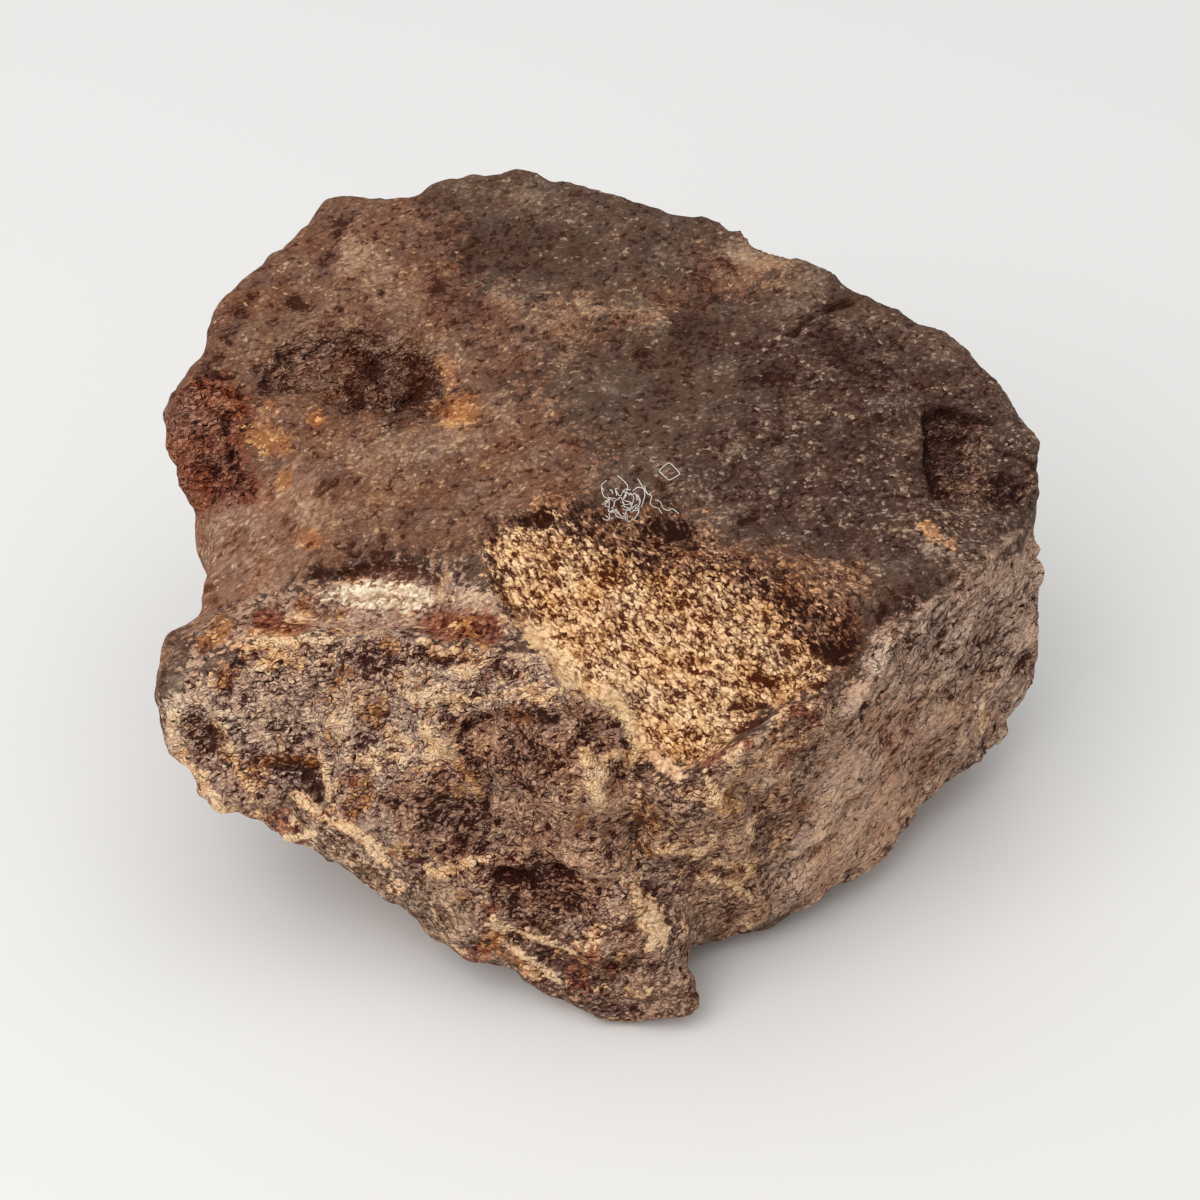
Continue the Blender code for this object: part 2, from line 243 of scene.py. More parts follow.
# The surface of each zone: how much of it pale chips and dark hollows cover, how lumpy it is, how
# strongly the tones of its chips differ, and which way its grain lies.
SURFACES = {
    "crust": (0.05, 0.07, 0.5, 0.225, "level"),
    "warm": (0.06, 0.08, 0.6, 0.27, "level"),
    "speckled": (0.09, 0.11, 0.6, 0.33, "level"),
    "slope": (0.10, 0.06, 0.6, 0.36, "rising"),
    "trough": (0.14, 0.08, 0.8, 0.45, "level"),
    "side": (0.13, 0.11, 1.7, 0.6, "rising"),
    "low_side": (0.13, 0.08, 1.3, 0.45, "rising"),
    "front": (0.12, 0.12, 1.5, 0.525, "level"),
    "lobe": (0.12, 0.13, 1.5, 0.57, "level"),
    "knob": (0.05, 0.14, 1.4, 0.45, "level"),
    "nose": (0.13, 0.11, 1.2, 0.495, "level"),
    "hem": (0.20, 0.10, 1.0, 0.57, "falling"),
    "trench": (0.06, 0.13, 2.0, 0.42, "level"),
    "recess": (0.07, 0.15, 1.4, 0.45, "level"),
    "rust": (0.06, 0.14, 1.5, 0.45, "level"),
    "fringe": (0.22, 0.16, 0.7, 0.63, "falling"),
    "scar": (0.26, 0.10, 0.6, 0.84, "falling"),
    "cream": (0.40, 0.06, 0.3, 0.54, "level"),
}
zones = {}
pale, dark, lumpy, contrast = (np.full(count, value) for value in SURFACES["crust"][:4])
rising = np.zeros(count)
falling = np.zeros(count)
for name, corners, softness in ZONES:
    spots = drawn_finely if name in FINELY_EDGED else drawn
    weight = filled(spots, corners, softness) * facing
    zones[name] = weight
    *amounts, way = SURFACES[name]
    for field, amount in zip((pale, dark, lumpy, contrast), amounts):
        field += weight * (amount - field)
    rising += weight * ((way == "rising") - rising)
    falling += weight * ((way == "falling") - falling)

# The skin that faces away is crust too, warmer in broad areas and lighter brown low down.
AWAY_LUMPS = 0.4
away = 1 - facing
zones["warm"] = np.maximum(zones["warm"], away * ease(noise_at(places, 9.0, 7.0), -0.1, 0.3))
zones["slope"] = np.maximum(zones["slope"], away * ease(
    noise_at(places, 8.0, 23.0) - 0.06 * (places[:, 2] - 7), -0.1, 0.5))
lumpy += AWAY_LUMPS * away

# Iron stains, ochre and tan patches lie scattered over the broken faces in front: the size of
# the patches, where the noise starts, and the noise at their edges and at their middles.
PATCHES = [("rust", 2.4, 31.0, 0.22, 0.5), ("ochre", 1.9, 51.0, 0.22, 0.55),
           ("vein", 1.2, 91.0, 0.16, 0.42)]
PATCH_COVER = 0.7
broken = np.max([zones[name] for name in ("lobe", "front", "hem", "trough")], axis=0)
broken *= 1 - zones["knob"]
for name, length, start, low, high in PATCHES:
    patches = PATCH_COVER * broken * ease(noise_at(places, length, start), low, high)
    zones[name] = np.maximum(zones.get(name, 0), patches)

# The marks on the stone
# Single pits, cracks, veins, stains and small ledges, drawn on the same sheet. Each is a half
# width and the points that it runs through, in millimetres.
MARKS = {
    "pit": [
        (0.35, (-22.4, 14.0)), (0.2, (-22.9, 13.1), (-22.1, 12.8), (-21.4, 12.9)),
        (0.2, (-23.3, 12.0), (-22.2, 12.0)), (0.25, (-21.8, 10.5), (-21.7, 9.7)),
        (0.2, (-21.6, 8.9), (-21.2, 8.1)), (0.25, (-22.4, 7.8)), (0.2, (-22.9, 7.3)),
        (0.2, (-21.0, 16.6), (-20.6, 16.8)), (0.2, (-21.4, 15.7), (-21.7, 15.0)),
        (0.25, (-20.1, 17.6)), (0.3, (-17.9, 17.4), (-17.2, 17.0)), (0.2, (-18.8, 16.3)),
        (0.2, (-18.5, 18.4)), (0.25, (-16.3, 19.7), (-15.7, 20.0)), (0.3, (-15.0, 22.0)),
        (0.2, (-14.5, 22.1)), (0.25, (-15.3, 21.1)), (0.25, (-13.0, 21.0)),
        (0.25, (-15.3, 16.8)), (0.2, (-12.7, 17.9)), (0.2, (-9.8, 18.2), (-9.4, 18.4)),
        (0.2, (-9.6, 19.3)), (0.25, (-8.2, 16.3)), (0.2, (-16.4, 6.2), (-15.9, 6.7)),
        (0.2, (-15.5, 6.9)), (0.2, (-14.4, 6.9)), (0.4, (-13.4, 13.4)),
        (0.3, (-14.5, 12.3), (-14.4, 11.9)), (0.4, (-10.9, 13.6)), (0.25, (-10.0, 13.7)),
        (0.4, (-10.9, 12.0)), (0.25, (-11.9, 11.9)), (0.25, (-20.0, 13.4)),
        (0.2, (-19.4, 12.8)), (0.2, (-3.0, 15.4)), (0.2, (-2.2, 14.8)), (0.15, (0.0, 14.1)),
        (0.2, (2.0, 14.1), (2.8, 14.4)), (0.2, (1.0, 14.7)), (0.2, (9.2, 14.9)),
        (0.2, (11.2, 15.4)), (0.25, (16.8, 15.2)), (0.25, (14.3, 14.2)), (0.2, (10.4, 9.3)),
        (0.2, (7.1, 9.0)), (0.14, (9.0, 4.7), (8.2, 4.6)), (0.2, (3.9, 3.7)),
        (0.22, (4.6, 4.2)), (0.16, (3.1, 4.3)), (0.2, (-14.5, 2.7), (-14.0, 2.7)),
        (0.22, (-13.2, 2.5), (-12.1, 2.65)), (0.15, (-14.3, 3.2)), (0.2, (-11.0, 1.9)),
        (0.28, (-5.2, 4.9), (-4.2, 4.7)), (0.28, (-3.6, 4.6), (-2.9, 4.5)),
        (0.3, (-23.5, -7.0)), (0.35, (-23.1, -7.8)), (0.25, (-22.5, -7.6)),
        (0.2, (-23.3, -8.6)), (0.2, (-22.7, -8.8)), (0.25, (-22.0, -6.2)),
        (0.2, (-21.1, -5.2)), (0.2, (-20.4, -5.5)), (0.2, (-19.9, -5.0)),
        (0.25, (-17.3, -7.2)), (0.2, (-18.9, -7.5)), (0.25, (-16.9, -10.4)),
        (0.25, (-16.5, -11.1)), (0.2, (-16.6, -11.7)), (0.35, (-0.4, -7.0), (-0.9, -7.7)),
        (0.3, (-1.3, -8.2)), (0.2, (-5.3, -7.9)), (0.2, (-3.4, -8.7)), (0.2, (-2.2, -9.4)),
        (0.22, (-5.9, -16.1)), (0.2, (-5.3, -15.9)), (0.25, (-4.6, -16.1)),
        (0.2, (-3.7, -16.3)), (0.25, (-4.9, -17.6)), (0.2, (-3.0, -16.7)),
        (0.2, (-2.7, -17.9)), (0.2, (-1.5, -17.2)), (0.2, (-3.2, -13.4)),
        (0.2, (-5.7, -13.0)), (0.2, (0.5, -21.3), (0.9, -21.4)), (0.2, (2.8, -21.2)),
        (0.2, (4.7, -21.4)), (0.2, (13.6, -15.7)), (0.15, (17.9, -2.3)), (0.15, (20.3, -2.2)),
    ],
    "crack": [
        (0.17, (14.6, 17.4), (13.6, 17.0), (12.6, 16.6), (11.9, 16.2), (11.3, 15.5)),
        (0.22, (18.9, 10.5), (19.1, 9.0), (19.2, 7.4), (19.4, 5.9)),
        (0.17, (23.7, 8.4), (24.6, 8.2), (25.6, 7.7)),
        (0.28, (12.6, -3.1), (13.5, -3.4), (14.6, -3.6)), (0.2, (12.2, -4.9), (13.0, -4.8)),
        (0.2, (16.6, -0.3), (16.4, -1.0)), (0.15, (15.4, -5.2), (15.1, -6.8)),
        (0.17, (8.8, -4.4), (10.0, -5.0)), (0.14, (7.2, -6.4), (8.0, -6.1)),
        (0.14, (8.4, -6.3), (9.5, -6.2)), (0.17, (7.8, -7.5), (9.4, -6.9)),
        (0.17, (6.2, -9.8), (6.7, -10.5)),
    ],
    "groove": [
        (0.28, (-8.2, -8.4), (-7.4, -7.2), (-6.4, -6.7), (-4.6, -6.6), (-2.8, -6.7)),
        (0.25, (0.6, -6.9), (1.5, -8.2), (1.8, -9.8)),
        (0.5, (-8.7, -7.2), (-8.0, -8.7), (-6.4, -11.0), (-6.6, -13.0)),
        (0.4, (-19.8, -9.7), (-17.6, -9.9), (-16.7, -11.0)),
        (0.4, (-6.8, -15.6), (-4.0, -16.2), (-1.5, -15.6)),
        (0.35, (2.4, -9.2), (2.3, -12.0), (2.1, -15.4)),
        (0.35, (-10.0, -3.0), (-9.0, -3.6), (-8.0, -3.2)),
        (0.35, (-16.2, 1.4), (-12.5, 1.7), (-9.8, 1.2)),
        (0.3, (-6.2, 4.6), (-6.1, 2.2), (-5.6, 0.6), (-4.4, -1.4)),
        (0.3, (19.0, 10.8), (20.2, 11.0), (21.2, 10.6), (22.6, 10.5)),
        (0.3, (3.4, 4.2), (4.6, 3.8)), (0.4, (13.2, -2.7), (14.9, -2.4)),
    ],
    "ridge": [
        (0.5, (-6.6, -6.5), (-5.6, -6.2), (-3.2, -5.9), (-1.4, -5.6), (0.4, -6.2), (1.5, -7.6),
         (2.0, -9.2), (2.1, -10.4)),
        (0.35, (-8.3, -9.5), (-7.5, -10.3), (-7.0, -11.4)),
        (0.4, (-24.5, -8.4), (-24.4, -6.8), (-23.6, -5.8), (-22.2, -5.0)),
        (0.35, (-20.2, -2.6), (-16.0, -2.4), (-13.0, -2.0), (-10.6, -2.5)),
        (0.35, (-7.8, -2.6), (-6.0, -2.9), (-3.4, -4.0), (-1.6, -5.0)),
        (0.3, (6.2, -9.7), (8.6, -8.9), (10.0, -7.3), (12.6, -6.5)),
        (0.25, (-6.2, -18.6), (-4.0, -19.6), (-1.6, -20.3)),
        (0.25, (-5.6, -19.7), (-4.0, -21.0), (-2.0, -22.3)),
        (0.2, (24.8, 4.4), (20.6, 0.9), (18.0, -1.4), (15.6, -4.2)),
    ],
    "vein": [
        (0.2, (-22.3, -7.2), (-21.7, -7.5)), (0.2, (-21.5, -8.2), (-21.3, -9.2), (-20.9, -10.1)),
        (0.3, (-20.5, -10.6), (-20.0, -10.9)), (0.2, (-20.2, -11.5)),
        (0.25, (-16.2, -9.4), (-15.9, -10.8), (-15.4, -12.2)), (0.45, (-13.8, -9.3), (-12.9, -9.8)),
        (0.3, (-12.3, -9.1), (-11.4, -9.5)), (0.3, (-13.2, -9.0)),
        (0.45, (-10.8, -5.5), (-9.4, -5.6), (-8.0, -6.2)),
        (0.22, (-7.6, -5.9), (-5.9, -5.5), (-3.6, -5.0)),
        (0.2, (-4.6, -5.6), (-2.6, -5.4), (-1.2, -5.0)),
        (0.28, (-10.2, -2.6), (-9.1, -3.1), (-8.4, -2.8)),
        (0.2, (-19.6, -2.5), (-17.6, -2.7), (-15.6, -2.5)), (0.4, (-20.4, -3.0)),
        (0.4, (-19.6, -3.8)), (0.35, (-18.7, -3.3)), (0.35, (-8.6, -4.0), (-7.8, -4.6)),
        (0.3, (-7.4, -4.0)), (0.38, (-10.2, -7.6), (-9.4, -8.6)), (0.3, (-8.8, -9.1), (-8.4, -8.6)),
        (0.3, (-9.9, -9.0), (-9.4, -9.8)), (0.3, (-11.6, -8.2), (-10.9, -8.5)),
        (0.5, (-0.5, -8.8), (-0.2, -9.6)), (0.3, (-0.6, -10.4), (0.1, -11.3)),
        (0.25, (0.5, -9.0), (1.4, -8.8), (2.0, -9.3)), (0.2, (2.2, -10.8), (2.2, -13.0)),
        (0.2, (2.1, -15.2), (2.2, -17.2)), (0.75, (2.5, -17.8), (3.2, -19.2)),
        (0.27, (-9.8, -15.9), (-8.2, -15.6), (-7.4, -15.1), (-6.4, -15.0)),
        (0.2, (-6.2, -18.6), (-4.0, -19.6), (-1.6, -20.3)),
        (0.18, (-5.6, -19.7), (-4.0, -21.0), (-2.0, -22.3)),
        (0.22, (-20.2, -13.2), (-18.6, -13.8), (-16.6, -13.5)),
        (0.22, (-17.6, -11.6), (-15.6, -13.0), (-14.0, -14.0), (-12.4, -15.6)),
        (0.2, (-15.2, -12.8), (-12.8, -14.6)), (0.25, (-25.0, -6.4), (-24.9, -7.6)),
        (0.22, (-24.2, -9.2), (-22.6, -11.2), (-20.8, -12.9)),
        (0.2, (3.4, -14.4), (5.6, -14.6), (6.6, -13.2)), (0.2, (6.0, -9.9), (6.9, -11.6)),
        (0.2, (6.2, -16.2), (8.6, -16.8), (9.0, -15.4)),
        (0.15, (7.4, -15.0), (8.2, -15.0), (8.3, -15.7), (7.5, -15.7), (7.4, -15.0)),
        (0.45, (3.0, -9.0), (4.4, -9.8)), (0.45, (22.1, -6.2), (22.4, -7.2)),
    ],
    "smear": [
        (0.16, (-9.6, 9.0), (-8.4, 9.3), (-7.4, 9.5)), (0.15, (-9.8, 8.4), (-8.2, 9.0)),
        (0.15, (-13.7, 6.4), (-13.0, 7.1)), (0.15, (-15.0, 16.0), (-14.2, 16.0)),
        (0.22, (-14.8, 19.2)), (0.2, (-12.8, 18.0)), (0.35, (-9.9, 15.0)),
        (0.5, (-9.2, 0.4), (-6.6, 0.2)), (0.4, (-9.0, 1.3), (-8.0, 1.7)),
        (0.35, (-7.9, 10.5)), (1.0, (18.8, 4.2), (20.6, 2.8)), (0.6, (19.6, 4.8), (21.6, 5.0)),
        (0.8, (16.4, 2.4)), (0.7, (-5.4, 3.2), (-5.6, 1.4)), (0.6, (23.6, 9.4), (24.8, 8.6)),
    ],
    "flank": [
        (0.5, (-4.6, -0.8), (-3.6, -2.3), (-2.2, -3.5), (-0.8, -4.8), (0.7, -5.9), (1.7, -7.2),
         (2.4, -8.4)),
    ],
    "fade": [
        (1.3, (-3.0, 4.2), (0.0, 3.2), (3.0, 2.2), (6.0, 1.0), (9.0, -0.4), (12.0, -2.2)),
        (0.9, (5.4, -0.4), (7.2, -1.2)), (0.8, (9.8, -2.4), (11.4, -3.6)), (0.9, (0.4, 1.6)),
    ],
    "bulge": [
        (2.0, (-6.0, -8.8)), (2.2, (-1.6, -9.6), (-0.6, -11.2)), (1.5, (-10.8, -5.2)),
        (1.6, (-20.6, -7.6)), (1.4, (-14.6, -6.4)), (1.5, (-11.4, -10.6)), (1.5, (-5.2, -13.8)),
        (1.4, (-1.0, -15.0)), (1.6, (6.6, -12.2)), (1.4, (9.8, -10.2)), (1.3, (-16.6, 13.8)),
        (1.2, (-12.6, 12.6)), (1.3, (-22.8, 9.4)),
    ],
    "ochre": [
        (0.8, (-20.0, 9.8), (-18.8, 9.1)), (0.6, (-19.2, 11.0)), (0.45, (-16.6, 10.7)),
        (0.6, (-8.9, 13.6), (-8.7, 12.6)), (0.9, (-8.9, 11.2), (-7.6, 11.0)),
        (0.5, (-8.2, -11.1)), (0.3, (-8.2, -9.5), (-7.4, -10.4), (-6.9, -11.4)),
        (0.35, (-0.9, -12.3), (-1.0, -13.2)), (0.7, (2.5, -12.4), (2.6, -13.3)),
        (0.4, (-5.4, -6.5), (-4.4, -7.0)), (0.6, (-17.5, 3.8), (-16.4, 3.4)),
        (0.6, (-18.4, 7.0)), (0.4, (-18.8, -9.4), (-16.4, -9.8)), (0.6, (-23.0, -2.6), (-21.9, -1.4)),
        (0.4, (18.8, 4.4), (19.6, 3.8)), (0.35, (20.4, 3.4)),
    ],
    "rust": [
        (0.45, (10.4, -6.4), (12.4, -6.8)), (0.45, (2.8, -8.4)), (0.5, (6.0, -9.1), (8.4, -8.6)),
        (0.35, (-0.2, -19.4), (-0.2, -20.5)), (0.3, (0.7, -21.4)), (0.3, (7.8, -15.3)),
        (0.9, (-9.4, -1.5), (-6.6, -1.6)),
        (0.7, (-19.6, -1.2), (-17.4, -1.8)),
    ],
    # Shade marks darken the ground: partly the stone's own darker tone, partly painted shade in hollows
    # and on the lower lobe.
    "shade": [
        (0.8, (3.4, 4.4), (4.8, 4.0)), (0.6, (-0.6, 5.2), (1.2, 4.8)),
        (1.4, (13.4, 14.6), (15.0, 13.2)), (1.6, (9.8, 13.4)), (1.6, (-4.8, -9.6), (-3.4, -10.4)),
        (0.9, (1.2, -9.9)), (1.5, (5.0, -11.8)), (1.1, (9.8, -13.8)), (0.9, (5.4, -15.5)),
        (1.5, (-4.6, -16.8), (-2.0, -17.8)), (1.3, (-9.4, -12.2), (-7.6, -13.4)),
        (1.0, (-22.6, -7.8)), (0.9, (-21.0, -5.8)), (0.9, (24.9, -3.6)), (0.8, (18.0, -9.6)),
        (0.8, (17.4, -0.6), (19.0, 0.4)), (1.0, (-13.6, -3.4), (-12.4, -3.6)),
        (0.6, (-4.3, -0.6)), (0.9, (13.6, -2.3), (15.2, -0.6)), (0.8, (-16.9, -10.8)),
        (1.0, (20.2, 9.8), (20.4, 7.2)), (0.7, (23.4, 6.6)), (0.9, (-13.4, 13.2)), (0.9, (-10.6, 13.2)),
        (0.7, (-17.6, 17.2)), (0.7, (-15.0, 21.6)), (0.9, (12.4, -1.2), (10.6, 0.2)),
        (1.6, (-9.0, 21.0), (-4.0, 20.4)), (1.6, (4.4, 12.6), (6.0, 18.0)),
        (1.2, (-9.4, 18.6), (-7.0, 16.6)), (0.6, (-16.0, 1.6), (-10.4, 1.7)),
    ],
    # Light marks lighten the ground: partly the stone's own lighter tone, partly painted light on the
    # upper lobe.
    "light": [
        (1.8, (-20.0, -6.6), (-12.0, -6.4)), (1.4, (-9.8, -8.2)), (1.2, (-22.4, -4.4)),
        (1.6, (21.4, 0.2), (24.4, 2.0)), (1.4, (7.0, -11.0), (9.4, -9.6)),
        (1.4, (-14.4, 19.6), (-11.6, 18.6)), (1.0, (-6.0, 17.4), (3.6, 16.4)),
        (0.8, (-5.2, 24.0), (-4.0, 23.6)), (0.9, (8.4, 20.2), (12.0, 18.4)),
        (1.2, (-14.0, 8.6), (-9.0, 9.6)), (0.9, (-15.4, 4.0), (-17.6, 5.6)),
        (0.7, (-24.2, -4.6), (-25.2, -7.6)), (1.0, (12.6, -13.8), (14.2, -10.0)),
        (1.2, (17.4, -12.2), (14.6, -14.2)), (0.7, (22.2, -6.6)), (0.9, (24.0, -1.6)),
        (0.9, (-17.4, -5.2), (-12.6, -5.6)), (1.0, (5.2, -20.6), (3.2, -23.0)),
        (0.8, (19.4, 3.0)), (0.7, (14.8, -9.4), (13.8, -12.4)),
    ],
}
# What a mark of each kind does at its middle: raises the skin, in millimetres, and adds to the
# cover of pale mineral, to the cover of dark specks and to the lightness of the ground. A smear
# is a thin vein, a flank is the pale rim of the scar, and the scar's colour thins out at a fade.
# Pits, cracks and grooves are sunk and also darkened, which is painted shade in them.
MARK_EFFECTS = {
    "pit": (-0.40, -0.3, 0.65, -0.14),
    "crack": (-0.45, -0.3, 0.85, -0.2),
    "groove": (-0.36, -0.08, 0.2, -0.24),
    # A ridge is raised and lightened: the lightness is a painted highlight along its crest.
    "ridge": (0.3, 0.06, -0.08, 0.16),
    "vein": (0.1, 0.50, -0.12, 0.12),
    "smear": (0.05, 0.26, 0.0, 0.05),
    "flank": (0.0, 0.10, -0.15, 0.1),
    "ochre": (0.0, 0.05, 0.0, 0.0),
    "rust": (0.0, -0.05, 0.05, 0.0),
    "shade": (-0.18, -0.10, 0.13, -0.13),
    "light": (0.05, 0.06, -0.04, 0.2),
    "fade": (0.0, -0.14, 0.13, -0.12),
    "bulge": (0.5, 0.0, 0.0, 0.0),
}
# Marks of these kinds have a finish of their own.
COLOURED_MARKS = ("vein", "flank", "ochre", "rust")
# The marks are uneven in height along their length.
uneven = 0.85 + 0.9 * noise_at(places, 0.7, 5.0)
height = np.zeros(count)
lightness = np.full(count, 0.5)
for kind, marks in MARKS.items():
    strength = np.zeros(count)
    for half_width, *points in marks:
        middle = np.mean(points, axis=0)
        reach = np.ptp(points, axis=0).max() / 2 + 3 * half_width + 0.5
        near = np.flatnonzero((np.abs(drawn_finely - middle) < reach).all(axis=1))
        gap = gap_to(drawn_finely[near], points)
        strength[near] = np.maximum(strength[near], np.exp(-((gap / half_width) ** 2)))
    strength *= facing
    raised, more_pale, more_dark, lighter = MARK_EFFECTS[kind]
    height += raised * strength * uneven
    pale += more_pale * strength
    dark += more_dark * strength
    lightness += lighter * strength
    if kind in COLOURED_MARKS:
        zones[kind] = np.maximum(zones.get(kind, 0), ease(strength, 0.0, 0.8))

# The relief of the skin
# Weathering leaves rounded lumps with creases between them, coarse in the trench and on the
# lobe, drawn out along the streaked side, and pits where grains have dropped out.
LUMPS = [(4.5, 0.24), (2.2, 0.19), (1.1, 0.12)]
STREAK_WAY = np.array([0.67, 0.53, 0.52])
STREAK_STRETCH = 2.8
# Pits: how far apart they may lie and how deep they are, in millimetres, their size and the width
# of their edge as shares of the spacing, how many of them there are, and how dark they are. Their
# darkness is painted shade in the pit.
PIT_SPACING = 1.2
PIT_DEPTH = 0.28
PIT_SIZE = 0.30
PIT_EDGE = 0.20
PIT_SHARE = 0.25
PIT_PAINTED_SHADE = 0.5
# Painted light and shade: the side of each lump that faces the upper left is lighter and the
# other side darker, as if lit from there, and hollows are darker than high places, which is painted
# shade.
PAINTED_LIGHT_WAY = np.array([-0.45, 0.25, 0.86])
PAINTED_LIGHT_ON_LUMPS = 0.22
HOLLOW_PAINTED_SHADE = 0.35
# The relief is lowered by this much, so that it rises as far above the solid as it sinks below.
RELIEF_DROP = 0.05

streaked = places - (1 - 1 / STREAK_STRETCH) * (places @ STREAK_WAY)[:, None] * STREAK_WAY
for number, (length, depth) in enumerate(LUMPS):
    lumps = noise_at(places, length, 17.0 * number)
    lumps += 2.0 * np.abs(lumps) - 0.5
    streaks = 3.0 * np.abs(noise_at(streaked, length * 0.7, 17.0 * number)) - 0.75
    on_side = zones["side"] * (1 - zones["front"])
    height += depth * lumpy * (lumps + on_side * (streaks - lumps))

pit_near = np.empty(count)
pit_choice = np.empty(count)
bends = np.stack([noise_at(places, 0.7, start) for start in (61, 67, 73)], axis=1)
for index, point in enumerate((places / PIT_SPACING + 0.3 * bends).tolist()):
    gaps, centres = noise.voronoi(point)
    pit_near[index] = gaps[0]
    pit_choice[index] = noise.cell(centres[0] * 7.3)
pit = ease(PIT_SIZE - pit_near, 0.0, PIT_EDGE) * (np.abs(pit_choice) < PIT_SHARE * (lumpy - 0.4))
height -= PIT_DEPTH * pit * np.minimum(lumpy, 1.2)
dark += PIT_PAINTED_SHADE * pit

shaped = places + outward * (height - RELIEF_DROP)[:, None]
shaped = np.clip(shaped, np.array(solid_low) / MM, np.array(solid_high) / MM)
stone.data.vertices.foreach_set("co", (shaped * MM).ravel())
stone.data.update()
relief_normals = np.empty(count * 3)
stone.data.vertex_normals.foreach_get("vector", relief_normals)
# Painted light and shade: lighter where a lump faces the upper left and where the skin is high.
lit_sides = (relief_normals.reshape(-1, 3) - outward) @ PAINTED_LIGHT_WAY
lightness += HOLLOW_PAINTED_SHADE * height + PAINTED_LIGHT_ON_LUMPS * lit_sides
fields = {
    "pale": pale,
    "dark": dark,
    "contrast": contrast,
    "rising": rising,
    "falling": falling,
    "lightness": np.clip(lightness, 0, 1),
    "rough": np.clip(lumpy / 1.5, 0.3, 1),
}
for name, values in {**zones, **fields}.items():
    attribute = stone.data.attributes.new(name, "FLOAT", "POINT")
    attribute.data.foreach_set("value", values.astype(np.float32))
stone.data.shade_smooth()
stone.data.update()


# The finish of the stone
# Rough weathered stone with no shine, dark brown where the crust is left and tan where it broke.
# It is made of small ragged chips. Each zone has its own ground colour, with flecks of pale
# mineral over it and dark specks where it is porous, partly dark grains and partly painted shade
# in the pores. Painted light and shade lie on its lumps and chips.
def linear(code):
    """An sRGB hex colour as the linear values that shaders take."""
    parts = [int(code[i:i + 2], 16) / 255 for i in (0, 2, 4)]
    return [p / 12.92 if p <= 0.04045 else ((p + 0.055) / 1.055) ** 2.4 for p in parts] + [1.0]


def add(tree, kind, sockets=None, **settings):
    """Adds a node with its settings and with values or links on its sockets."""
    node = tree.nodes.new(kind)
    for name, value in settings.items():
        setattr(node, name, value)
    for name, value in (sockets or {}).items():
        if isinstance(value, bpy.types.NodeSocket):
            tree.links.new(value, node.inputs[name])
        else:
            node.inputs[name].default_value = value
    return node


# Each way that the grain lies: its direction, how drawn out the chips are and how wide, in
# millimetres. The chips are as wide as real flakes. Finer grit would be too fine to show.
GRAINS = {
    "level": ((0.97, 0.23, 0.05), 1.6, 0.20),
    "rising": (tuple(STREAK_WAY), 2.2, 0.22),
    "falling": ((0.68, -0.68, -0.30), 2.2, 0.165),
}
# The colour of the hollows, of the ground and of the pale mineral in each zone, and in the marks
# that have a finish of their own.
FINISHES = {
    "crust": ("382014", "60493b", "a28871"),
    "warm": ("44261a", "7c5844", "ba9876"),
    "speckled": ("30180e", "574136", "ac9078"),
    "slope": ("603a26", "946d56", "c8a888"),
    "trough": ("5a3628", "b28e78", "e0bc96"),
    "side": ("482c20", "ae8c78", "dabaa0"),
    "low_side": ("603e2c", "ba927a", "dcb898"),
    "front": ("4a281a", "a58069", "dcb48e"),
    "lobe": ("44241a", "b08d79", "eac8a2"),
    "knob": ("38190e", "a67c64", "deb690"),
    "nose": ("34160e", "735443", "c4a086"),
    "hem": ("44261a", "8d725d", "d8b494"),
    "trench": ("401e12", "7a5642", "b49078"),
    "recess": ("2c140c", "5a4034", "a8866e"),
    "rust": ("340f06", "864f3a", "bc8866"),
    "ochre": ("542c18", "9f6b46", "deae78"),
    "fringe": ("2c1208", "865e46", "e4b488"),
    "scar": ("4c2410", "c8986a", "f8d2a0"),
    "vein": ("7a4a2c", "dcaa7e", "f8d4a6"),
    "flank": ("805432", "d8ae7e", "f8d8a8"),
    "cream": ("8c6846", "d8be9e", "fcecd0"),
}
material = bpy.data.materials.new("weathered_stone")
material.use_nodes = True
tree = material.node_tree
shader = tree.nodes["Principled BSDF"]
coordinates = add(tree, "ShaderNodeTexCoord").outputs["Object"]
inputs = {}
for name in fields:
    inputs[name] = add(tree, "ShaderNodeAttribute", attribute_name=name).outputs["Fac"]
# Noises: the length of each, in millimetres, and how many finer ones are added to it.
NOISES = {
    "bends": (0.35, 1.0),
    "ragged": (0.5, 2.0),
    "clusters": (1.2, 2.0),
    "stains": (2.2, 2.0),
    "mottling": (3.4, 3.0),
}
for name, (length, detail) in NOISES.items():
    clouds = add(tree, "ShaderNodeTexNoise", {"Vector": coordinates, "Scale": 1 / (length * MM),
                                              "Detail": detail, "Roughness": 0.6})
    inputs[name] = clouds.outputs["Color" if name == "bends" else "Fac"]
# The outlines of the chips are ragged: they are bent by this much.
CHIP_BEND = 0.45 * MM
bent = add(tree, "ShaderNodeVectorMath", {0: inputs["bends"], 1: [CHIP_BEND] * 3, 2: coordinates},
           operation="MULTIPLY_ADD").outputs[0]
